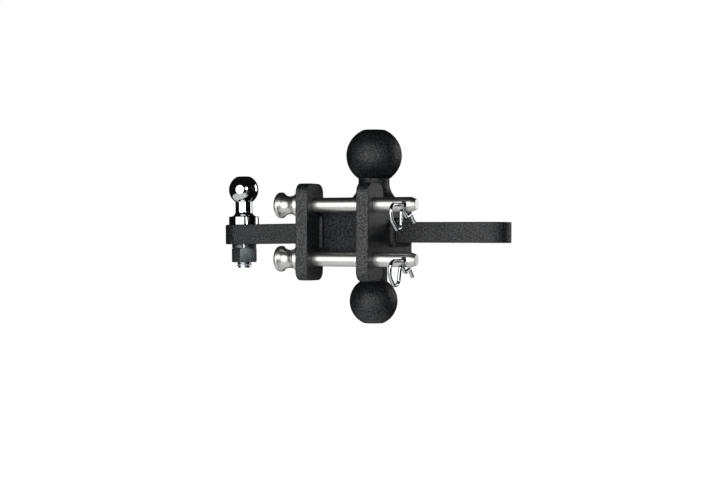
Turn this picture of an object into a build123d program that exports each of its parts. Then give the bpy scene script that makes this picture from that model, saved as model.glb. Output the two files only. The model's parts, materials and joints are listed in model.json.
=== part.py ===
from build123d import *
from math import atan2, degrees, sqrt
import os

# Two-ball mount for an adjustable drop hitch, with sway-control wings. Millimetres.
# The origin is the middle of the clevis: halfway between the side plates, on the plane of
# the two cross pins and halfway between them. +Y points back to the ball axis, +Z points
# up to the larger ball, and the wings lie along X.

# Clevis: the gap that takes the shank's tongue, and the two plates that make it
gap_width = 53.6
plate_thickness = 13.5
ear_depth = 37.4
ear_height = 98.0
ear_corner_radius = 10.0
arm_height = 55.0
throat_radius = 9.0
plate_edge_round = 1.2
pin_spacing = 54.6

# Forging: web between the plates, round boss behind them, and the two coupler balls
web_face_y = 12.0
ball_axis_y = 84.6
core_height = 62.0
boss_radius = 39.9
core_edge_round = 2.5
upper_ball_diameter = 58.74
upper_ball_center_z = 81.2
upper_ball_flat_height = 27.0
upper_neck_radius = 16.4
upper_flare_radius = 21.6
lower_ball_diameter = 50.8
lower_ball_center_z = -72.3
lower_ball_flat_height = 23.3
lower_neck_radius = 14.4
lower_flare_radius = 6.0

# Wings: flat bars with a full round end, butted to the plates' outer faces
wing_width = 39.6
wing_thickness = 21.0
wing_reach = 161.2
wing_axis_y = 57.6
wing_edge_round = 1.0
# The left wing is welded on a little low and tips down, with all that stands on it
left_wing_drop = 0.9
left_wing_droop = 0.8

# Weld beads
wing_weld_leg = 6.0
wing_weld_toe = 0.4
web_weld_leg = 6.0
web_weld_pin_gap = 1.0
arm_weld_rise = 2.8
arm_weld_width = 4.8

# Sway-control ball, and the washer and nut that hold it on the left wing
sway_ball_diameter = 31.75
sway_ball_rise = 37.6
sway_ball_flat_height = 14.3
sway_neck_radius = 9.1
sway_neck_fillet = 5.5
sway_flange_radius = 16.1
sway_flange_height = 8.8
sway_flange_chamfer = 0.7
stud_diameter = 15.875
stud_hole_clearance = 0.3
stud_end_length = 6.1
stud_end_chamfer = 1.2
washer_radius = 13.1
washer_thickness = 3.97
washer_bore_clearance = 0.35
washer_split_width = 2.2
washer_split_lean = 25.0
washer_split_angle = -65.0
nut_across_flats = 23.8
nut_height = 15.5
nut_thread_clearance = 0.05
nut_corner_angle = -18.7
nut_corner_drop = 1.6

# Cross pins, with spool-shaped heads on the left and chamfered tips on the right
pin_diameter = 14.8
pin_hole_clearance = 0.3
pin_tip_x = 84.4
pin_tip_chamfer_length = 5.6
pin_tip_chamfer_depth = 2.2
head_seat_gap = 0.3
head_radius = 13.2
head_flange_thickness = 5.7
head_waist_radius = 9.2
head_waist_arc_radius = 12.0
head_edge_chamfer = 0.6
head_rim_land = 1.8
head_end_round = 3.0

# Retaining clips: spring wire with a straight leg through the pin, one hanging loop, a
# cradle that springs up under the pin and a turned-down tail. Places along the wire are
# given as distances in front of (-Y) and below (-Z) the pin's axis.
cross_hole_x = 73.5
cross_hole_diameter = 6.0
clip_wire_diameter = 3.6
clip_pin_gap = 0.6
clip_leg_drop = 0.8
clip_leg_shift = 0.4
lower_clip_lean = 6.5
clip_leg_past_pin = 14.6
clip_loop_reach = 28.4
clip_loop_back_gap = 3.2
clip_front_drop = 14.5
clip_front_lean = 1.0
clip_foot_width = 10.9
clip_foot_depth = 24.3
clip_foot_slope = 1.0
clip_return_height = 3.2
clip_return_width = 5.4
clip_return_drop = 3.2
clip_cradle_back = 1.2
clip_cradle_drop = 2.9
clip_neck_back = 1.1
clip_neck_rise = 0.5
clip_tail_length = 9.5
clip_tail_drop = 8.0
clip_front_radius = 7.0
clip_side_radius = 12.0
clip_foot_front_radius = 6.0
clip_foot_back_radius = 5.0
clip_return_radius = 2.6
clip_cradle_radius = 4.5

# Places worked out from the sizes above
plate_inner_x = gap_width / 2
plate_outer_x = plate_inner_x + plate_thickness
pin_radius = pin_diameter / 2
pin_hole_radius = pin_radius + pin_hole_clearance
pin_z = pin_spacing / 2
core_half = core_height / 2
arm_half = arm_height / 2
wing_half = wing_thickness / 2
stud_x = wing_reach - wing_width / 2
stud_radius = stud_diameter / 2
stud_hole_radius = stud_radius + stud_hole_clearance
cut_margin = 5.0
butt_allowance = 1.0


def reach(radius, offset):
    """Half the chord that lies at this offset from the centre of a circle."""
    return sqrt(radius**2 - offset**2)


def turned_about_z(outline):
    """Solid of revolution from a closed outline with radius along X and height along Z."""
    return revolve(make_face(Plane.XZ * outline), Axis.Z)


def on_left_wing(piece):
    """The piece dropped and tipped with the left wing, about the wing's butt."""
    tipped = Rot(0, -left_wing_droop, 0) * Pos(plate_outer_x, 0, 0) * piece
    return Pos(-plate_outer_x, 0, -left_wing_drop) * tipped


def plate_outline():
    """Rounded ear with a lower arm running back to the ball axis, throats rounded."""
    ear = RectangleRounded(ear_depth, ear_height, ear_corner_radius)
    arm = Pos(ball_axis_y / 2, 0) * Rectangle(ball_axis_y, arm_height)
    outline = ear + arm
    throats = [
        vertex for vertex in outline.vertices()
        if abs(vertex.X - ear_depth / 2) < 0.01 and abs(abs(vertex.Y) - arm_half) < 0.01
    ]
    return fillet(throats, throat_radius)


def side_plate():
    """Right-hand plate, with both faces' rims rounded and the two pin holes drilled."""
    plate = extrude(Plane.YZ * plate_outline(), plate_thickness)
    rims = [
        edge for edge in plate.edges()
        if edge.bounding_box().size.X < 0.01 and edge.center().Y < ball_axis_y - 0.01
    ]
    plate = fillet(rims, plate_edge_round)
    drill = Rot(0, 90, 0) * Cylinder(pin_hole_radius, plate_thickness * 2)
    for z in (pin_z, -pin_z):
        plate -= Pos(plate_thickness / 2, 0, z) * drill
    return Pos(plate_inner_x, 0, 0) * plate


def core_block():
    """Web between the plates, and the half-round boss behind their ends."""
    web_length = ball_axis_y - web_face_y
    web = Pos(0, web_face_y + web_length / 2) * Rectangle(gap_width, web_length)
    rear_half = Pos(0, boss_radius / 2) * Rectangle(2 * boss_radius, boss_radius)
    boss = Pos(0, ball_axis_y) * (Circle(boss_radius) & rear_half)
    core = extrude(Plane.XY.offset(-core_half) * (web + boss), core_height)
    rims = [
        edge for edge in core.edges()
        if edge.bounding_box().size.Z < 0.01
        and (edge.center().Y > ball_axis_y + 1 or edge.center().Y < web_face_y + 0.01)
    ]
    return fillet(rims, core_edge_round)


def ball_horn(ball_radius, center_height, flat_height, neck_radius, flare_radius):
    """Ball with a flat crown on a neck that flares out onto the top of the core."""
    neck_top = center_height - reach(ball_radius, neck_radius)
    flat_radius = reach(ball_radius, flat_height)
    flare_top = core_half + flare_radius
    foot_radius = neck_radius + flare_radius
    turn = sqrt(0.5)
    outline = Polyline(
        (0, center_height + flat_height), (0, core_half), (foot_radius, core_half)
    )
    outline += ThreePointArc(
        (foot_radius, core_half),
        (foot_radius - flare_radius * turn, flare_top - flare_radius * turn),
        (neck_radius, flare_top),
    )
    outline += Line((neck_radius, flare_top), (neck_radius, neck_top))
    outline += ThreePointArc(
        (neck_radius, neck_top),
        (ball_radius, center_height),
        (flat_radius, center_height + flat_height),
    )
    outline += Line((flat_radius, center_height + flat_height), (0, center_height + flat_height))
    horn = turned_about_z(outline)
    side_width = foot_radius + cut_margin - plate_inner_x
    if side_width > 0:
        trim = Box(side_width, foot_radius + cut_margin, flare_radius + cut_margin,
                   align=(Align.MIN, Align.MAX, Align.MIN))
        trim = Pos(plate_inner_x, 0, core_half) * trim
        horn = horn - trim - mirror(trim, Plane.YZ)
    return Pos(0, ball_axis_y, 0) * horn


def dual_ball_forging():
    """One forging: web, boss, larger ball above and smaller ball below."""
    upper = ball_horn(upper_ball_diameter / 2, upper_ball_center_z, upper_ball_flat_height,
                      upper_neck_radius, upper_flare_radius)
    lower = ball_horn(lower_ball_diameter / 2, -lower_ball_center_z, lower_ball_flat_height,
                      lower_neck_radius, lower_flare_radius)
    return core_block() + upper + mirror(lower, Plane.XY)


def plate_weld(plate, forging):
    """Beads that hold the right-hand plate: one down the web, one along each arm edge."""
    web_run = pin_spacing - pin_diameter - 2 * web_weld_pin_gap
    corner = Polyline(
        (plate_inner_x, web_face_y), (plate_inner_x - web_weld_leg, web_face_y),
        (plate_inner_x, web_face_y - web_weld_leg), close=True,
    )
    web_bead = extrude(Plane.XY.offset(-web_run / 2) * make_face(corner), web_run)
    root = arm_half - plate_edge_round
    section = Polyline(
        (plate_inner_x, root), (plate_inner_x, arm_half + arm_weld_rise),
        (plate_inner_x + arm_weld_width, arm_half), (plate_inner_x + arm_weld_width, root),
        close=True,
    )
    arm_start = ear_depth / 2 + throat_radius
    arm_run = ball_axis_y - arm_start
    profile_plane = Plane(origin=(0, arm_start, 0), x_dir=(1, 0, 0), z_dir=(0, -1, 0))
    arm_bead = extrude(profile_plane * make_face(section), -arm_run) - plate - forging
    return [web_bead, arm_bead, mirror(arm_bead, Plane.XY)]


def beyond_plate(piece):
    """What of a right-hand piece lies outside the plate's outer face."""
    block_size = 2 * wing_reach
    block = Pos(plate_outer_x, wing_axis_y, 0) * Box(
        block_size, block_size, block_size, align=(Align.MIN, Align.CENTER, Align.CENTER))
    return piece & block


def wing():
    """Right-hand bar with a full round end and the stud hole, its butt not yet trimmed."""
    start_x = plate_outer_x - butt_allowance
    straight = stud_x - start_x
    outline = Pos(start_x + straight / 2, wing_axis_y) * Rectangle(straight, wing_width)
    outline += Pos(stud_x, wing_axis_y) * Circle(wing_width / 2)
    bar = extrude(Plane.XY.offset(-wing_half) * outline, wing_thickness)
    rims = [
        edge for edge in bar.edges()
        if edge.bounding_box().size.Z < 0.01 and edge.center().X > start_x + 0.01
    ]
    bar = fillet(rims, wing_edge_round)
    return bar - Pos(stud_x, wing_axis_y, 0) * Cylinder(stud_hole_radius, wing_thickness * 2)


def wing_weld(bar):
    """Fillet bead all round the butt of the right-hand wing, not yet trimmed."""
    root = Pos(plate_outer_x - butt_allowance / 2, wing_axis_y, 0) * Box(
        butt_allowance, wing_width + 2 * wing_weld_leg, wing_thickness + 2 * wing_weld_leg)
    sections = []
    for offset, width in ((0, wing_weld_leg), (wing_weld_leg, wing_weld_toe)):
        plane = Plane(origin=(plate_outer_x + offset, wing_axis_y, 0), x_dir=(0, 1, 0), z_dir=(1, 0, 0))
        sections.append(plane * RectangleRounded(
            wing_width + 2 * width, wing_thickness + 2 * width, wing_edge_round + width))
    return loft(sections) + root - bar


def left_of_plate(piece):
    """The left-hand twin of an untrimmed piece, dropped, tipped and trimmed at its plate."""
    return mirror(beyond_plate(mirror(on_left_wing(mirror(piece, Plane.YZ)), Plane.YZ)), Plane.YZ)


def sway_ball():
    """Ball, neck, flange and stud turned in one piece, standing on the left wing."""
    ball_radius = sway_ball_diameter / 2
    center = wing_half + sway_ball_rise
    crown = center + sway_ball_flat_height
    crown_radius = reach(ball_radius, sway_ball_flat_height)
    neck_top = center - reach(ball_radius, sway_neck_radius)
    shoulder = wing_half + sway_flange_height
    fillet_foot = sway_neck_radius + sway_neck_fillet
    fillet_top = shoulder + sway_neck_fillet
    turn = sqrt(0.5)
    stud_end = -(wing_half + washer_thickness + nut_height + stud_end_length)
    outline = Polyline(
        (crown_radius, crown), (0, crown), (0, stud_end),
        (stud_radius - stud_end_chamfer, stud_end), (stud_radius, stud_end + stud_end_chamfer),
        (stud_radius, wing_half), (sway_flange_radius, wing_half),
        (sway_flange_radius, shoulder - sway_flange_chamfer),
        (sway_flange_radius - sway_flange_chamfer, shoulder), (fillet_foot, shoulder),
    )
    outline += ThreePointArc(
        (fillet_foot, shoulder),
        (fillet_foot - sway_neck_fillet * turn, fillet_top - sway_neck_fillet * turn),
        (sway_neck_radius, fillet_top),
    )
    outline += Line((sway_neck_radius, fillet_top), (sway_neck_radius, neck_top))
    outline += ThreePointArc(
        (sway_neck_radius, neck_top), (ball_radius, center), (crown_radius, crown)
    )
    return Pos(-stud_x, wing_axis_y, 0) * turned_about_z(outline)


def sway_lock_washer():
    """Split ring pressed flat under the left wing, with its slanted gap to the front."""
    ring = Cylinder(washer_radius, washer_thickness)
    ring -= Cylinder(stud_radius + washer_bore_clearance, washer_thickness * 2)
    gap = Pos(washer_radius, 0, 0) * Rot(washer_split_lean, 0, 0) * Box(
        2 * washer_radius, washer_split_width, washer_thickness * 2)
    ring -= Rot(0, 0, washer_split_angle) * gap
    return Pos(-stud_x, wing_axis_y, -wing_half - washer_thickness / 2) * ring


def sway_nut():
    """Hexagon nut under the washer, its corners turned down at both ends."""
    corner_radius = nut_across_flats / sqrt(3)
    hexagon = RegularPolygon(nut_across_flats / 2, 6, major_radius=False)
    first = hexagon.vertices()[0]
    hexagon = Rot(0, 0, nut_corner_angle - degrees(atan2(first.Y, first.X))) * hexagon
    nut = extrude(hexagon, nut_height)
    face_radius = corner_radius - nut_corner_drop
    slope = nut_corner_drop * sqrt(3) / 3
    envelope = Polyline(
        (0, 0), (face_radius, 0), (corner_radius, slope), (corner_radius, nut_height - slope),
        (face_radius, nut_height), (0, nut_height), close=True,
    )
    nut = nut & turned_about_z(envelope)
    nut -= Cylinder(stud_radius + nut_thread_clearance, nut_height * 3)
    return Pos(-stud_x, wing_axis_y, -wing_half - washer_thickness - nut_height) * nut


def cross_pin(z):
    """Pin turned about its own axis, with the clip's hole drilled across its tip."""
    seat = -plate_outer_x - head_seat_gap
    groove_radius = head_radius - head_edge_chamfer
    groove_half = reach(head_waist_arc_radius,
                        head_waist_radius + head_waist_arc_radius - groove_radius)
    groove_start = seat - head_flange_thickness - head_edge_chamfer
    groove_end = groove_start - 2 * groove_half
    rim_start = groove_end - head_edge_chamfer
    round_start = rim_start - head_rim_land
    head_end = round_start - head_end_round
    turn = sqrt(0.5)
    tip_shoulder = pin_tip_x - pin_tip_chamfer_length
    outline = Polyline(
        (head_end, head_radius - head_end_round), (head_end, 0), (pin_tip_x, 0),
        (pin_tip_x, pin_radius - pin_tip_chamfer_depth), (tip_shoulder, pin_radius),
        (seat, pin_radius), (seat, head_radius), (seat - head_flange_thickness, head_radius),
        (groove_start, groove_radius),
    )
    outline += ThreePointArc(
        (groove_start, groove_radius), (groove_start - groove_half, head_waist_radius),
        (groove_end, groove_radius),
    )
    outline += Polyline(
        (groove_end, groove_radius), (rim_start, head_radius), (round_start, head_radius)
    )
    outline += ThreePointArc(
        (round_start, head_radius),
        (round_start - head_end_round * turn, head_radius - head_end_round * (1 - turn)),
        (head_end, head_radius - head_end_round),
    )
    pin = revolve(make_face(Plane.XZ * outline), Axis.X)
    pin -= Pos(cross_hole_x, 0, 0) * Rot(90, 0, 0) * Cylinder(cross_hole_diameter / 2, pin_diameter * 2)
    return Pos(0, 0, z) * pin


def pin_clip(z, lean):
    """Spring wire: leg through the pin, one loop in front, then a cradle under the pin."""
    around_pin = pin_radius + clip_pin_gap + clip_wire_diameter / 2
    loop_front = around_pin + clip_loop_reach
    loop_back = around_pin + clip_loop_back_gap
    neck_y = around_pin + clip_neck_back
    neck_z = -around_pin + clip_neck_rise
    points = [
        (0, pin_radius + clip_leg_past_pin, -clip_leg_drop),
        (0, -loop_front, -clip_leg_drop),
        (0, -loop_front + clip_front_lean, -clip_leg_drop - clip_front_drop),
        (0, -loop_back - clip_foot_width, -clip_leg_drop - clip_foot_depth),
        (0, -loop_back, -clip_leg_drop - clip_foot_depth + clip_foot_slope),
        (0, -loop_back, -clip_leg_drop - clip_return_height),
        (0, -loop_back + clip_return_width, -clip_leg_drop - clip_return_height - clip_return_drop),
        (0, clip_cradle_back, -around_pin - clip_cradle_drop),
        (0, neck_y, neck_z),
        (0, neck_y + clip_tail_length, neck_z - clip_tail_drop),
    ]
    radii = [
        clip_front_radius, clip_side_radius, clip_foot_front_radius, clip_foot_back_radius,
        clip_return_radius, clip_cradle_radius, clip_cradle_radius, clip_return_radius,
    ]
    path = FilletPolyline(*points, radius=radii)
    start_plane = Plane(origin=points[0], z_dir=(0, -1, 0))
    wire = sweep(start_plane * Circle(clip_wire_diameter / 2), path=path)
    wire = Pos(0, 0, -clip_leg_drop) * Rot(0, lean, 0) * Pos(0, 0, clip_leg_drop) * wire
    return Pos(cross_hole_x - clip_leg_shift, 0, z) * wire


forging = dual_ball_forging()
right_plate = side_plate()
right_plate_beads = Compound(children=plate_weld(right_plate, forging))
bar = wing()
bead = wing_weld(bar)

nodes = {
    "dual_ball_forging": forging,
    "right_side_plate": right_plate,
    "left_side_plate": mirror(right_plate, Plane.YZ),
    "right_plate_weld": right_plate_beads,
    "left_plate_weld": mirror(right_plate_beads, Plane.YZ),
    "right_wing": beyond_plate(bar),
    "right_wing_weld": beyond_plate(bead),
    "left_wing": left_of_plate(bar),
    "left_wing_weld": left_of_plate(bead),
    "sway_ball": on_left_wing(sway_ball()),
    "sway_lock_washer": on_left_wing(sway_lock_washer()),
    "sway_nut": on_left_wing(sway_nut()),
    "upper_pin": cross_pin(pin_z),
    "lower_pin": cross_pin(-pin_z),
    "upper_pin_clip": pin_clip(pin_z, 0),
    "lower_pin_clip": pin_clip(-pin_z, lower_clip_lean),
}

os.makedirs("parts", exist_ok=True)
for name, piece in nodes.items():
    export_step(piece, f"parts/{name}.step")
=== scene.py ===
import bpy
import json
import math
from mathutils import Matrix, Vector


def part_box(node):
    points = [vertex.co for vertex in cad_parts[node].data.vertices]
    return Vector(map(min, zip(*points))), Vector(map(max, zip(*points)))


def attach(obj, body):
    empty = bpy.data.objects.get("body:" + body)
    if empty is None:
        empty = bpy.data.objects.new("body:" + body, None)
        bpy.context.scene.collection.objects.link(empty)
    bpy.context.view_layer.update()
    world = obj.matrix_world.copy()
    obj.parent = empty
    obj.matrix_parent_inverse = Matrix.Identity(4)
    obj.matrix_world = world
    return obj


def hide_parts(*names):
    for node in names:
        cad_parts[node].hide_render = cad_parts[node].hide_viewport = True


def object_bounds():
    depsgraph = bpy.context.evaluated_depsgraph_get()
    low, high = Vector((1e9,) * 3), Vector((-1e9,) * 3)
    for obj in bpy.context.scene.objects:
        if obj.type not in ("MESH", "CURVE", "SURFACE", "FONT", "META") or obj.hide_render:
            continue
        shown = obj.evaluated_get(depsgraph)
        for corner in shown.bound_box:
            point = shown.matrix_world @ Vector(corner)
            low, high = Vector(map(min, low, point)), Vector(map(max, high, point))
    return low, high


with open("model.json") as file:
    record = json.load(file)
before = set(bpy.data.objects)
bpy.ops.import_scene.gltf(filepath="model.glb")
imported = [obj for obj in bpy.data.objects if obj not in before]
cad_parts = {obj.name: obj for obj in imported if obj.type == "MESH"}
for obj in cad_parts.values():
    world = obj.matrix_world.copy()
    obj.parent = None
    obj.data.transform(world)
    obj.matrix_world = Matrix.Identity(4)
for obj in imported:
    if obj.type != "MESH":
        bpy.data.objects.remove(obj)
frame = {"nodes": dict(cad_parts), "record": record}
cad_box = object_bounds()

# Camera. A long lens stands a metre and a half in front of the clevis, level with the
# pins and a quarter of the way round towards the empty wing.
camera_distance = 1.5839
camera_side = math.radians(24.296)
camera_turn = math.radians(24.824)
camera_lift = math.radians(0.021)
camera_roll = math.radians(0.189)
camera_height = -0.00848
ball_axis_y = 0.0846
camera_place = Vector((
    camera_distance * math.sin(camera_side),
    ball_axis_y - camera_distance * math.cos(camera_side),
    camera_height,
))
ahead = Vector((
    -math.sin(camera_turn) * math.cos(camera_lift),
    math.cos(camera_turn) * math.cos(camera_lift),
    math.sin(camera_lift),
))
level_right = Vector((math.cos(camera_turn), math.sin(camera_turn), 0))
level_up = level_right.cross(ahead)
right = math.cos(camera_roll) * level_right + math.sin(camera_roll) * level_up
up = math.cos(camera_roll) * level_up - math.sin(camera_roll) * level_right
lens = bpy.data.cameras.new("studio_camera")
lens.lens = 75
lens.sensor_width = 36
camera = bpy.data.objects.new("studio_camera", lens)
bpy.context.scene.collection.objects.link(camera)
camera.matrix_world = (
    Matrix.Translation(camera_place) @ Matrix((right, up, -ahead)).transposed().to_4x4()
)
bpy.context.scene.camera = camera

# Ball forging: web, boss and both coupler balls, drop-forged in one piece, shot-blasted and
# powder-coated black. The coat is a fine-textured polyester that follows the scaly skin.
def linear(hex_colour):
    """Linear RGBA of an sRGB hex colour."""
    channels = [int(hex_colour[i:i + 2], 16) / 255 for i in (0, 2, 4)]
    curve = [c / 12.92 if c <= 0.04045 else ((c + 0.055) / 1.055) ** 2.4 for c in channels]
    return (*curve, 1)


def add_node(tree, kind, inputs=None, **settings):
    """A node with its settings, each input given a value or linked to an output socket."""
    node = tree.nodes.new(kind)
    for name, value in settings.items():
        setattr(node, name, value)
    for socket, value in (inputs or {}).items():
        if isinstance(value, bpy.types.NodeSocket):
            tree.links.new(value, node.inputs[socket])
        else:
            node.inputs[socket].default_value = value
    return node


def start_material(name):
    """A new material's node tree, its shader and its object coordinates."""
    material = bpy.data.materials.new(name)
    material.use_nodes = True
    tree = material.node_tree
    shader = tree.nodes["Principled BSDF"]
    place = add_node(tree, "ShaderNodeTexCoord").outputs["Object"]
    return material, tree, shader, place


# Textured powder coat: polyester grains that melt to a fine orange peel, so the black
# sparkles in small points instead of shining. The real 0.3 mm grain is drawn at 1.3 mm,
# the smallest that shows. Under it lies the skin of the steel: scaly or rolled.
def powder_coat(name, skin_lump_mm, skin_height_mm, shine):
    material, tree, shader, place = start_material(name)
    grain_mm = 1.3
    grain = add_node(tree, "ShaderNodeTexNoise", {
        "Vector": place, "Scale": 1000 / grain_mm, "Detail": 2.0, "Roughness": 0.6})
    skin = add_node(tree, "ShaderNodeTexNoise", {
        "Vector": place, "Scale": 1000 / skin_lump_mm, "Detail": 3.0, "Roughness": 0.55})
    cloud = add_node(tree, "ShaderNodeTexNoise", {"Vector": place, "Scale": 1000 / 28, "Detail": 2.0})
    shade = add_node(tree, "ShaderNodeMapRange", {
        "Value": grain.outputs["Fac"], "From Min": 0.40, "From Max": 0.66})
    colour = add_node(tree, "ShaderNodeMix", {
        "Factor": shade.outputs["Result"], "A": linear("040506"), "B": linear("2e3033")},
        data_type="RGBA")
    tree.links.new(colour.outputs["Result"], shader.inputs["Base Color"])
    gloss = add_node(tree, "ShaderNodeMapRange", {
        "Value": cloud.outputs["Fac"], "To Min": 0.31, "To Max": 0.41})
    tree.links.new(gloss.outputs["Result"], shader.inputs["Roughness"])
    sparkle = add_node(tree, "ShaderNodeMapRange", {
        "Value": grain.outputs["Fac"], "From Min": 0.36, "From Max": 0.66,
        "To Min": 0.40 * shine, "To Max": shine})
    tree.links.new(sparkle.outputs["Result"], shader.inputs["Specular IOR Level"])
    lumps = add_node(tree, "ShaderNodeBump", {
        "Height": skin.outputs["Fac"], "Strength": 1.0, "Distance": skin_height_mm / 1000})
    peel = add_node(tree, "ShaderNodeBump", {
        "Height": grain.outputs["Fac"], "Strength": 1.0, "Distance": 0.0006,
        "Normal": lumps.outputs["Normal"]})
    tree.links.new(peel.outputs["Normal"], shader.inputs["Normal"])
    shader.inputs["Metallic"].default_value = 0.0
    shader.inputs["IOR"].default_value = 1.5
    return material


def paint(piece, material):
    """The piece takes this one material all over."""
    piece.data.materials.clear()
    piece.data.materials.append(material)


forged_coat = powder_coat("powder_coat_on_forging", 4.0, 0.45, 0.60)
# Painted shade: the coat's shine is dimmed at the bottom of the clevis, standing for the
# shade in the recess between the plates, and comes back over the depth of the web.
painted_shade_full_y = 0.016
painted_shade_end_y = 0.040
tree = forged_coat.node_tree
shine_input = tree.nodes["Principled BSDF"].inputs["Specular IOR Level"]
place = add_node(tree, "ShaderNodeTexCoord").outputs["Object"]
depth = add_node(tree, "ShaderNodeSeparateXYZ", {"Vector": place}).outputs["Y"]
painted_shade_reach = add_node(tree, "ShaderNodeMapRange", {
    "Value": depth, "From Min": painted_shade_full_y, "From Max": painted_shade_end_y, "To Min": 0.45, "To Max": 1.0})
# Painted shade: the shine is multiplied down towards the front of the web.
shine_under_painted_shade = add_node(tree, "ShaderNodeMath", {
    0: shine_input.links[0].from_socket, 1: painted_shade_reach.outputs["Result"]}, operation="MULTIPLY")
tree.links.new(shine_under_painted_shade.outputs["Value"], shine_input)
paint(frame["nodes"]["dual_ball_forging"], forged_coat)

# Three plain round pads stand on the web, forged with it. They are the size of the raised
# foundry marks that such a web carries, and say nothing.
def deselect_all():
    """Leaves nothing selected and no mode open, ready for the next piece."""
    if bpy.context.mode != "OBJECT":
        bpy.ops.object.mode_set(mode="OBJECT")
    bpy.ops.object.select_all(action="DESELECT")


def settle(piece, body, slot, material, *nodes):
    """Names the piece's body, hides the nodes it stands for, and paints it; its slot is not used."""
    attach(piece, body)
    if nodes:
        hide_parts(*nodes)
    paint(piece, material)


pad_radius = 0.0034
pad_height = 0.0009
pad_sink = 0.0005
pad_edge_round = 0.0004
pad_places_x = (-0.0075, 0.0005, 0.0085)
web_front_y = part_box("dual_ball_forging")[0][1]
pads = []
for pad_x in pad_places_x:
    deselect_all()
    bpy.ops.mesh.primitive_cylinder_add(
        vertices=40, radius=pad_radius, depth=pad_height + pad_sink,
        location=(pad_x, web_front_y + (pad_sink - pad_height) / 2, 0),
        rotation=(math.pi / 2, 0, 0))
    bpy.ops.object.mode_set(mode="EDIT")
    bpy.ops.mesh.select_all(action="SELECT")
    bpy.ops.mesh.bevel(offset=pad_edge_round, segments=3)
    bpy.ops.object.mode_set(mode="OBJECT")
    pads.append(bpy.context.object)
for pad in pads:
    pad.select_set(True)
bpy.ops.object.join()
bpy.ops.object.transform_apply(location=True, rotation=True, scale=True)
bpy.ops.object.shade_smooth_by_angle(angle=math.radians(40))
web_pads = bpy.context.object
web_pads.name = "web_pads"
settle(web_pads, "mount_body", "powder_coat", forged_coat)

# Side plates: two half-inch ears flame-cut from hot-rolled plate, welded to the forging's
# web and coated with it. Rolled plate is smoother than the forging under the same coat.
plate_coat = powder_coat("powder_coat_on_plate", 7.0, 0.10, 0.82)
for side in ("left", "right"):
    paint(frame["nodes"][side + "_side_plate"], plate_coat)

# Plate welds: a bead down each corner of the web and one along each arm's edge, laid by
# hand with a wire torch. Each pause of the torch leaves one ripple.
def lay_bead(path, radius, pitch, length):
    """Overlapping drops of metal along a closed or open run of points, not yet melted."""
    drops = []
    for start, end in zip(path, path[1:]):
        run = end - start
        count = max(1, round(run.length / pitch))
        for i in range(count):
            drops.append((start + run * (i + 0.5) / count, run.normalized()))
    for centre, along in drops:
        deselect_all()
        bpy.ops.mesh.primitive_uv_sphere_add(
            segments=20, ring_count=12, radius=radius, location=centre)
        drop = bpy.context.object
        drop.rotation_mode = "QUATERNION"
        drop.rotation_quaternion = Vector((0, 0, 1)).rotation_difference(along)
        drop.scale = (1, 1, length)
        yield drop


def melt(drops, name, voxel):
    """Joins the drops, fuses them to one rippled skin and softens it."""
    deselect_all()
    for drop in drops:
        drop.select_set(True)
    bpy.context.view_layer.objects.active = drops[0]
    bpy.ops.object.join()
    bead = bpy.context.object
    bead.name = name
    bpy.ops.object.transform_apply(location=True, rotation=True, scale=True)
    fuse = bead.modifiers.new("fuse", "REMESH")
    fuse.mode = "VOXEL"
    fuse.voxel_size = voxel
    bpy.ops.object.modifier_apply(modifier=fuse.name)
    soften = bead.modifiers.new("soften", "SMOOTH")
    soften.factor = 0.5
    soften.iterations = 2
    bpy.ops.object.modifier_apply(modifier=soften.name)
    bpy.ops.object.shade_smooth()
    return bead


def other_hand(piece, name):
    """The left-hand twin of a right-hand piece, with its own mesh."""
    twin = piece.copy()
    twin.data = piece.data.copy()
    twin.name = name
    bpy.context.scene.collection.objects.link(twin)
    twin.data.transform(Matrix.Scale(-1, 4, Vector((1, 0, 0))))
    deselect_all()
    twin.select_set(True)
    bpy.context.view_layer.objects.active = twin
    bpy.ops.object.mode_set(mode="EDIT")
    bpy.ops.mesh.select_all(action="SELECT")
    bpy.ops.mesh.normals_make_consistent(inside=False)
    bpy.ops.object.mode_set(mode="OBJECT")
    return twin


weld_coat = powder_coat("powder_coat_on_weld", 3.0, 0.12, 0.65)
plate_low, plate_high = (Vector(corner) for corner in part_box("right_side_plate"))
arm_weld_back_y = Vector(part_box("right_plate_weld")[1]).y
ripple_pitch = 0.0019
web_bead_radius = 0.0033
arm_bead_radius = 0.0036
web_bead_half = 0.0160
corner_gap = 0.0008
arm_edge_z = 0.0275
arm_bead_inset = 0.0012
arm_bead_x = plate_low.x + 0.0010
drop_length = 0.62
plate_bead_voxel = 0.00045
arm_bead_start_y = 0.0310
arm_bead_end_y = arm_weld_back_y - web_bead_radius
corner_in = Vector((plate_low.x - corner_gap, web_front_y - corner_gap, 0))
drops = list(lay_bead(
    [corner_in + Vector((0, 0, -web_bead_half)), corner_in + Vector((0, 0, web_bead_half))],
    web_bead_radius, ripple_pitch, drop_length))
for edge_z in (-arm_edge_z, arm_edge_z):
    bead_z = edge_z - math.copysign(arm_bead_inset, edge_z)
    drops += lay_bead(
        [Vector((arm_bead_x, arm_bead_start_y, bead_z)), Vector((arm_bead_x, arm_bead_end_y, bead_z))],
        arm_bead_radius, ripple_pitch, drop_length)
right_plate_bead = melt(drops, "right_plate_beads", plate_bead_voxel)
settle(right_plate_bead, "mount_body", "powder_coat", weld_coat, "right_plate_weld")
left_plate_bead = other_hand(right_plate_bead, "left_plate_beads")
settle(left_plate_bead, "mount_body", "powder_coat", weld_coat, "left_plate_weld")

# Wings: two flat bars sawn from hot-rolled stock, each with one end milled to a full round
# and drilled for a stud, butted to the plates and coated with them. Their coat is drawn a
# little duller than the plates', a painted shade for the darker look of the bars set back behind the
# plates.
# Painted shade: the bars take less shine than the plates under the same coat.
shaded_bar_coat = powder_coat("powder_coat_on_bar", 7.0, 0.10, 0.58)
for side in ("left", "right"):
    paint(frame["nodes"][side + "_wing"], shaded_bar_coat)

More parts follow.
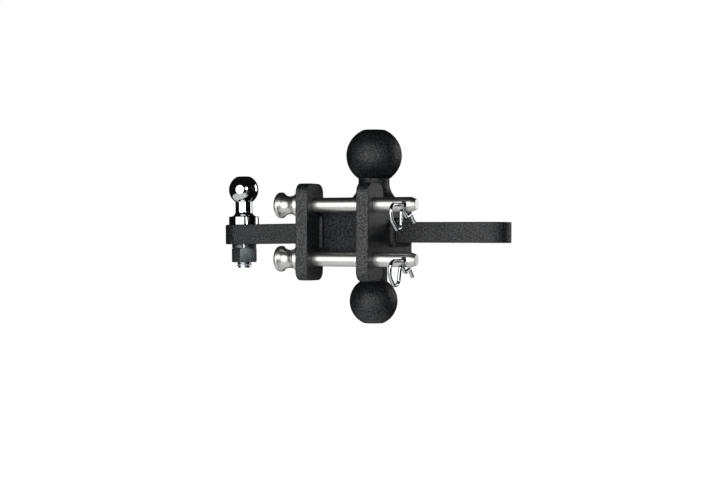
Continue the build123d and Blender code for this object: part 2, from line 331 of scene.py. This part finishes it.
# Wing welds: one bead all round each bar where it butts the plate.
wing_low, wing_high = (Vector(corner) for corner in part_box("right_wing"))
wing_bead_radius = 0.0052
wing_ripple_pitch = 0.0024
wing_drop_length = 0.6
wing_bead_voxel = 0.0005
inset = 0.0006
wing_corner_x = wing_low.x + inset
corners = [
    Vector((wing_corner_x, y, z)) for y, z in (
        (wing_low.y + inset, wing_low.z + inset), (wing_high.y - inset, wing_low.z + inset),
        (wing_high.y - inset, wing_high.z - inset), (wing_low.y + inset, wing_high.z - inset))
]
drops = list(lay_bead(
    corners + corners[:1], wing_bead_radius, wing_ripple_pitch, wing_drop_length))
right_wing_bead = melt(drops, "right_wing_bead", wing_bead_voxel)
settle(right_wing_bead, "mount_body", "powder_coat", weld_coat, "right_wing_weld")
left_wing_bead = other_hand(right_wing_bead, "left_wing_bead")
left_wing_drop = 0.0009
left_wing_droop = math.radians(0.8)
butt = Vector((-plate_high.x, 0, 0))
left_wing_bead.data.transform(
    Matrix.Translation(butt - Vector((0, 0, left_wing_drop)))
    @ Matrix.Rotation(-left_wing_droop, 4, "Y") @ Matrix.Translation(-butt))
settle(left_wing_bead, "mount_body", "powder_coat", weld_coat, "left_wing_weld")

# Sway ball: ball, neck, flange and threaded stud turned from one bar, polished and
# chrome-plated. The stud goes down through the left wing.
def arc(centre_radius, centre_height, radius, start, end, steps):
    """(radius, height) of points along an arc of a profile, angles in degrees."""
    angles = [math.radians(start + (end - start) * i / steps) for i in range(steps + 1)]
    return [(centre_radius + radius * math.cos(a), centre_height + radius * math.sin(a))
            for a in angles]


def turn(name, profile, segments):
    """A solid turned about Z: one ring after another is extruded and sized, in mm."""
    deselect_all()
    radius, height = profile[0]
    bpy.ops.mesh.primitive_circle_add(
        vertices=segments, radius=radius / 1000, fill_type="NGON", location=(0, 0, 0))
    piece = bpy.context.object
    piece.name = name
    bpy.ops.object.mode_set(mode="EDIT")
    bpy.ops.mesh.select_all(action="SELECT")
    bpy.ops.transform.translate(value=(0, 0, height / 1000))
    for next_radius, next_height in profile[1:]:
        bpy.ops.mesh.extrude_region_move(
            TRANSFORM_OT_translate={"value": (0, 0, (next_height - height) / 1000)})
        ratio = next_radius / radius
        bpy.ops.transform.resize(value=(ratio, ratio, 1), center_override=(0, 0, next_height / 1000))
        radius, height = next_radius, next_height
    bpy.ops.mesh.select_all(action="SELECT")
    bpy.ops.mesh.normals_make_consistent(inside=False)
    bpy.ops.object.mode_set(mode="OBJECT")
    bpy.ops.object.shade_smooth_by_angle(angle=math.radians(25))
    return piece


ball_top = next(mount for mount in frame["record"]["mounts"] if mount["name"] == "sway_ball_top")
ball_place = Vector(ball_top["pos_m"])
wing_tip = Vector((0, 0, 1)).rotation_difference(Vector(ball_top["axis"]))
sway_radius = 15.875
wing_top = -37.6
wing_thickness = 21.0
washer_height = 3.97
nut_height = 15.5
stud_below_nut = 6.1
stud_end = wing_top - wing_thickness - washer_height - nut_height - stud_below_nut
stud_radius = 7.9375
stud_root_radius = 6.65
thread_pitch = 2.309
flange_radius = 16.1
flange_top = wing_top + 8.8
flange_chamfer = 0.7
edge_break = 0.3
stud_tip_chamfer = 0.5
thread_length = 13
neck_radius = 9.1
neck_fillet = 5.5
crown = 14.3
neck_angle = -math.degrees(math.acos(neck_radius / sway_radius))
crown_angle = math.degrees(math.asin((crown - 0.4) / sway_radius))
sway_profile = [
    (stud_root_radius - stud_tip_chamfer, stud_end), (stud_root_radius, stud_end + stud_tip_chamfer),
    (stud_root_radius, stud_end + thread_length), (stud_radius, stud_end + thread_length + 1),
    (stud_radius, wing_top), (flange_radius - edge_break, wing_top),
    (flange_radius, wing_top + edge_break), (flange_radius, flange_top - flange_chamfer),
    (flange_radius - flange_chamfer, flange_top),
]
sway_profile += arc(
    neck_radius + neck_fillet, flange_top + neck_fillet, neck_fillet, 270, 180, 10)
sway_profile += arc(0, 0, sway_radius, neck_angle, crown_angle, 48)
sway_profile += [(6.8, crown - 0.05), (6.5, crown), (6.0, crown)]
sway_ball = turn("sway_control_ball", sway_profile, 96)

# Its thread is rolled: a sharp ridge that climbs the stud, seen below the nut.
deselect_all()
thread_turns = 5
crest_half = 0.14
root_half = thread_pitch / 2 - 0.06
thread_bottom = stud_end + root_half + 0.35
bpy.ops.mesh.primitive_plane_add(size=1, location=(0, 0, 0), rotation=(math.pi / 2, 0, 0))
bpy.ops.object.transform_apply(rotation=True)
thread = bpy.context.object
for vertex in thread.data.vertices:
    outer = vertex.co.x > 0
    half = crest_half if outer else root_half
    vertex.co.x = (stud_radius - 0.03 if outer else stud_root_radius - 0.15) / 1000
    vertex.co.z = (thread_bottom + math.copysign(half, vertex.co.z)) / 1000
bpy.ops.object.mode_set(mode="EDIT")
bpy.ops.mesh.select_all(action="SELECT")
bpy.ops.mesh.delete(type="ONLY_FACE")
bpy.ops.object.mode_set(mode="OBJECT")
climb = thread.modifiers.new("climb", "SCREW")
climb.axis = "Z"
climb.angle = math.tau
climb.screw_offset = thread_pitch / 1000
climb.iterations = thread_turns
climb.steps = 72
climb.render_steps = 72
climb.use_merge_vertices = True
bpy.ops.object.modifier_apply(modifier=climb.name)
bpy.ops.object.mode_set(mode="EDIT")
bpy.ops.mesh.select_all(action="DESELECT")
bpy.ops.mesh.select_non_manifold(extend=False, use_boundary=True, use_wire=False,
                                 use_multi_face=False, use_non_contiguous=False, use_verts=False)
bpy.ops.mesh.edge_face_add()
bpy.ops.mesh.select_all(action="SELECT")
bpy.ops.mesh.normals_make_consistent(inside=False)
bpy.ops.object.mode_set(mode="OBJECT")
bpy.ops.object.shade_smooth_by_angle(angle=math.radians(25))
sway_ball.select_set(True)
bpy.context.view_layer.objects.active = sway_ball
bpy.ops.object.join()
sway_ball.location = ball_place
sway_ball.rotation_mode = "QUATERNION"
sway_ball.rotation_quaternion = wing_tip
bpy.ops.object.transform_apply(location=True, rotation=True, scale=True)

# Chrome plate: nickel and chromium over polished steel, a near-perfect mirror, faintly
# blue, that takes its look from the room. Handling leaves very light smears.
chrome, tree, shader, place = start_material("chrome_plate")
smear = add_node(tree, "ShaderNodeTexNoise", {"Vector": place, "Scale": 1000 / 9, "Detail": 3.0})
haze = add_node(tree, "ShaderNodeMapRange", {
    "Value": smear.outputs["Fac"], "To Min": 0.03, "To Max": 0.09})
tree.links.new(haze.outputs["Result"], shader.inputs["Roughness"])
tone = add_node(tree, "ShaderNodeMix", {
    "Factor": smear.outputs["Fac"], "A": linear("dcdfe1"), "B": linear("d3d6d8")}, data_type="RGBA")
tree.links.new(tone.outputs["Result"], shader.inputs["Base Color"])
shader.inputs["Metallic"].default_value = 1.0
settle(sway_ball, "mount_body", "chrome_plate", chrome, "sway_ball")

# Lock washer and nut: a split spring ring and a heavy hexagon nut under the left wing,
# cold-formed and bright zinc-plated. The plate is crystalline, a mottled blue-grey.
zinc, tree, shader, place = start_material("bright_zinc_plate")
crystal = add_node(tree, "ShaderNodeTexVoronoi", {"Vector": place, "Scale": 1000 / 1.6})
mottle = add_node(tree, "ShaderNodeTexNoise", {"Vector": place, "Scale": 1000 / 2.2, "Detail": 3.0})
patch = add_node(tree, "ShaderNodeMix", {
    "Factor": mottle.outputs["Fac"], "A": linear("30373a"), "B": linear("858d90")}, data_type="RGBA")
tree.links.new(patch.outputs["Result"], shader.inputs["Base Color"])
dull = add_node(tree, "ShaderNodeMapRange", {
    "Value": mottle.outputs["Fac"], "To Min": 0.36, "To Max": 0.52})
tree.links.new(dull.outputs["Result"], shader.inputs["Roughness"])
facet = add_node(tree, "ShaderNodeBump", {
    "Height": crystal.outputs["Distance"], "Strength": 0.5, "Distance": 0.0001})
tree.links.new(facet.outputs["Normal"], shader.inputs["Normal"])
shader.inputs["Metallic"].default_value = 1.0


def eased_copy(node, name, edge):
    """A merged copy of a formed piece with its edges eased, as tumbling leaves them."""
    deselect_all()
    source = frame["nodes"][node]
    piece = bpy.data.objects.new(name, source.data.copy())
    bpy.context.scene.collection.objects.link(piece)
    piece.select_set(True)
    bpy.context.view_layer.objects.active = piece
    bpy.ops.object.mode_set(mode="EDIT")
    bpy.ops.mesh.select_all(action="SELECT")
    bpy.ops.mesh.remove_doubles(threshold=1e-6)
    bpy.ops.mesh.dissolve_limited(angle_limit=math.radians(1))
    bpy.ops.object.mode_set(mode="OBJECT")
    ease = piece.modifiers.new("ease", "BEVEL")
    ease.width = edge
    ease.segments = 3
    ease.limit_method = "ANGLE"
    ease.angle_limit = math.radians(40)
    bpy.ops.object.modifier_apply(modifier=ease.name)
    bpy.ops.object.shade_smooth_by_angle(angle=math.radians(35))
    return piece


nut_edge_round = 0.0007
washer_edge_round = 0.0003
nut = eased_copy("sway_nut", "sway_stud_nut", nut_edge_round)
settle(nut, "mount_body", "zinc_plate", zinc, "sway_nut")
washer = eased_copy("sway_lock_washer", "split_lock_washer", washer_edge_round)
settle(washer, "mount_body", "zinc_plate", zinc, "sway_lock_washer")

# Cross pins: five-eighths class bar turned with a spool-shaped knob at one end and a
# chamfered tip at the other, drilled across for the clip, then tumbled. They hold the
# mount on its shank and slide out to the left.
def turned_steel(name):
    """Turned and tumbled stainless: rings of the tool round the bar, softly brushed."""
    material, tree, shader, place = start_material(name)
    ring_mm = 0.7
    rings = add_node(tree, "ShaderNodeTexWave", {
        "Vector": place, "Scale": 1000 / ring_mm / math.tau, "Distortion": 1.2, "Detail": 2.0},
        wave_type="BANDS", bands_direction="X")
    wear = add_node(tree, "ShaderNodeTexNoise", {"Vector": place, "Scale": 1000 / 3.0, "Detail": 4.0})
    rough = add_node(tree, "ShaderNodeMapRange", {
        "Value": wear.outputs["Fac"], "To Min": 0.26, "To Max": 0.40})
    tree.links.new(rough.outputs["Result"], shader.inputs["Roughness"])
    tint = add_node(tree, "ShaderNodeMix", {
        "Factor": wear.outputs["Fac"], "A": linear("c9c8c6"), "B": linear("e4e4e2")}, data_type="RGBA")
    tree.links.new(tint.outputs["Result"], shader.inputs["Base Color"])
    cut = add_node(tree, "ShaderNodeBump", {
        "Height": rings.outputs["Fac"], "Strength": 0.35, "Distance": 0.00002})
    tree.links.new(cut.outputs["Normal"], shader.inputs["Normal"])
    shader.inputs["Metallic"].default_value = 1.0
    return material


steel = turned_steel("turned_stainless_steel")
pin_low, pin_high = (Vector(corner) * 1000 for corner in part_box("upper_pin"))
pin_radius = 7.4
knob_radius = 13.2
waist_radius = 9.2
waist_arc = 12.0
knob_end_round = 3.0
knob_edge = 0.6
knob_land = 1.8
knob_flange = 5.7
waist_start = pin_low.x + knob_end_round + knob_land + knob_edge
waist_half = math.sqrt(waist_arc ** 2 - (waist_radius + waist_arc - knob_radius + knob_edge) ** 2)
waist_angle = math.degrees(math.asin(waist_half / waist_arc))
waist_end = waist_start + 2 * waist_half
seat = waist_end + knob_edge + knob_flange
tip_chamfer = 5.6
tip_radius = 5.2
tip_edge_break = 0.25
seat_edge_break = 0.4
shoulder_round = 0.3
pin_profile = [(knob_radius - knob_end_round - 4, pin_low.x)]
pin_profile += arc(
    knob_radius - knob_end_round, pin_low.x + knob_end_round, knob_end_round, 270, 360, 8)
pin_profile += [(knob_radius, waist_start - knob_edge)]
pin_profile += arc(waist_radius + waist_arc, waist_start + waist_half, waist_arc,
                   180 + waist_angle, 180 - waist_angle, 16)
pin_profile += [
    (knob_radius, waist_end + knob_edge), (knob_radius, seat - seat_edge_break),
    (knob_radius - seat_edge_break, seat), (pin_radius, seat),
    (pin_radius, pin_high.x - tip_chamfer - shoulder_round),
    (pin_radius - 0.12, pin_high.x - tip_chamfer + shoulder_round),
    (tip_radius + 0.1, pin_high.x - tip_edge_break), (tip_radius - tip_edge_break, pin_high.x),
]
cross_hole_x = 0.0735
cross_hole_radius = 0.0030
drill_length = 0.03
for level in ("upper", "lower"):
    pin = turn(level + "_cross_pin", pin_profile, 96)
    pin_z = sum(corner[2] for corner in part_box(level + "_pin")) / 2
    pin.rotation_euler = (0, math.pi / 2, 0)
    pin.location = (0, 0, pin_z)
    bpy.ops.object.transform_apply(location=True, rotation=True, scale=True)
    deselect_all()
    bpy.ops.mesh.primitive_cylinder_add(
        vertices=48, radius=cross_hole_radius, depth=drill_length,
        location=(cross_hole_x, 0, pin_z), rotation=(math.pi / 2, 0, 0))
    drill = bpy.context.object
    bpy.context.view_layer.objects.active = pin
    hole = pin.modifiers.new("hole", "BOOLEAN")
    hole.object = drill
    hole.solver = "EXACT"
    bpy.ops.object.modifier_apply(modifier=hole.name)
    bpy.data.objects.remove(drill)
    deselect_all()
    pin.select_set(True)
    bpy.context.view_layer.objects.active = pin
    bpy.ops.object.shade_smooth_by_angle(angle=math.radians(25))
    settle(pin, level + "_pin", "turned_steel", steel, level + "_pin")

# Pin clips: hard-drawn spring wire bent to a leg, a hanging finger loop and a cradle that
# snaps under the pin's tip, then bright zinc-plated.
wire, tree, shader, place = start_material("bright_spring_wire")
die_marks = add_node(tree, "ShaderNodeTexNoise", {"Vector": place, "Scale": 1000 / 1.5, "Detail": 3.0})
sheen = add_node(tree, "ShaderNodeMapRange", {
    "Value": die_marks.outputs["Fac"], "To Min": 0.08, "To Max": 0.18})
tree.links.new(sheen.outputs["Result"], shader.inputs["Roughness"])
wire_tone = add_node(tree, "ShaderNodeMix", {
    "Factor": die_marks.outputs["Fac"], "A": linear("c3c7c9"), "B": linear("dfe3e4")}, data_type="RGBA")
tree.links.new(wire_tone.outputs["Result"], shader.inputs["Base Color"])
shader.inputs["Metallic"].default_value = 1.0
for level in ("upper", "lower"):
    paint(frame["nodes"][level + "_pin_clip"], wire)

# Floor: a plain white studio floor just below the mount, lit to pure white, that takes no
# shadow and throws no light of its own on the mount.
deselect_all()
floor_size = 40
floor_gap = 0.004
bpy.ops.mesh.primitive_plane_add(size=floor_size, location=(0, 0, cad_box[0][2] - floor_gap))
floor = bpy.context.object
floor.name = "studio_floor"
floor_paint, tree, shader, place = start_material("white_studio_floor")
paper = add_node(tree, "ShaderNodeTexNoise", {"Vector": place, "Scale": 2.0})
paper_tone = add_node(tree, "ShaderNodeMix", {
    "Factor": paper.outputs["Fac"], "A": linear("fcfcfc"), "B": linear("ffffff")}, data_type="RGBA")
tree.links.new(paper_tone.outputs["Result"], shader.inputs["Base Color"])
shader.inputs["Emission Color"].default_value = (1, 1, 1, 1)
shader.inputs["Emission Strength"].default_value = 1.0
shader.inputs["Roughness"].default_value = 0.9
paint(floor, floor_paint)
floor.visible_glossy = False
floor.visible_diffuse = False
floor.visible_shadow = False

# Lights. A wide round softbox straight ahead, a small lamp to the camera's right and a
# tall strip behind on the right. Each is placed by its angle round the mount.
def light(name, azimuth, elevation, distance, size, radiance, colour, tall=None):
    """An area light aimed at the mount, with its brightness per unit of area."""
    lamp = bpy.data.lights.new(name, "AREA")
    if tall is None:
        lamp.shape = "DISK"
        lamp.size = size
        area = math.pi * (size / 2) ** 2
    else:
        lamp.shape = "RECTANGLE"
        lamp.size = size
        lamp.size_y = tall
        area = size * tall
    lamp.energy = radiance * math.pi * area
    lamp.color = colour
    holder = bpy.data.objects.new(name, lamp)
    bpy.context.scene.collection.objects.link(holder)
    a, e = math.radians(azimuth), math.radians(elevation)
    out = Vector((math.sin(a) * math.cos(e), -math.cos(a) * math.cos(e), math.sin(e)))
    holder.location = Vector((0, 0.05, 0)) + out * distance
    holder.rotation_euler = out.to_track_quat("Z", "Y").to_euler()
    holder.visible_camera = False


light("front_softbox", -6, 2, 2.5, 3.2, 2.4, (1.0, 1.0, 1.0))
light("right_lamp", 48, 11, 2.5, 0.9, 7.0, (1.0, 1.0, 1.0))
light("rim_strip", 149, 11, 2.0, 0.9, 1.9, (1.0, 1.0, 1.0), tall=0.95)

# Room: white behind for the camera, and for reflections a dark ceiling over a grey table.
lit_side = (math.sin(math.radians(-20)), -math.cos(math.radians(-20)), 0)
table_light = 0.70
room_dark = 0.006
room = bpy.data.worlds.new("studio_room")
bpy.context.scene.world = room
room.use_nodes = True
tree = room.node_tree
tree.nodes.clear()
seen = add_node(tree, "ShaderNodeLightPath").outputs["Is Camera Ray"]
way = add_node(tree, "ShaderNodeTexCoord").outputs["Generated"]
height = add_node(tree, "ShaderNodeSeparateXYZ", {"Vector": way}).outputs["Z"]
toward = add_node(tree, "ShaderNodeVectorMath", {0: way, 1: lit_side}, operation="DOT_PRODUCT")
near_lamp = add_node(tree, "ShaderNodeMapRange", {
    "Value": toward.outputs["Value"], "From Min": -0.25, "From Max": 0.15})
low = add_node(tree, "ShaderNodeMapRange", {
    "Value": height, "From Min": -0.38, "From Max": -0.50, "To Min": 0.0, "To Max": table_light})
beneath = add_node(tree, "ShaderNodeMapRange", {
    "Value": height, "From Min": -0.62, "From Max": -0.76, "To Min": 0.0, "To Max": 0.9})
spread = add_node(tree, "ShaderNodeMath", {
    0: near_lamp.outputs["Result"], 1: beneath.outputs["Result"]}, operation="MAXIMUM")
table = add_node(tree, "ShaderNodeMath", {
    0: spread.outputs["Value"], 1: low.outputs["Result"]}, operation="MULTIPLY")
fall = add_node(tree, "ShaderNodeMath", {0: table.outputs["Value"], 1: room_dark}, operation="ADD")
dim = add_node(tree, "ShaderNodeBackground", {"Strength": fall.outputs["Value"]})
bright = add_node(tree, "ShaderNodeBackground", {"Strength": 1.0})
for shade in (dim, bright):
    shade.inputs["Color"].default_value = (1, 1, 1, 1)
both = add_node(tree, "ShaderNodeMixShader", {
    0: seen, 1: dim.outputs["Background"], 2: bright.outputs["Background"]})
add_node(tree, "ShaderNodeOutputWorld", {"Surface": both.outputs["Shader"]})
bpy.context.scene.view_settings.view_transform = "Standard"
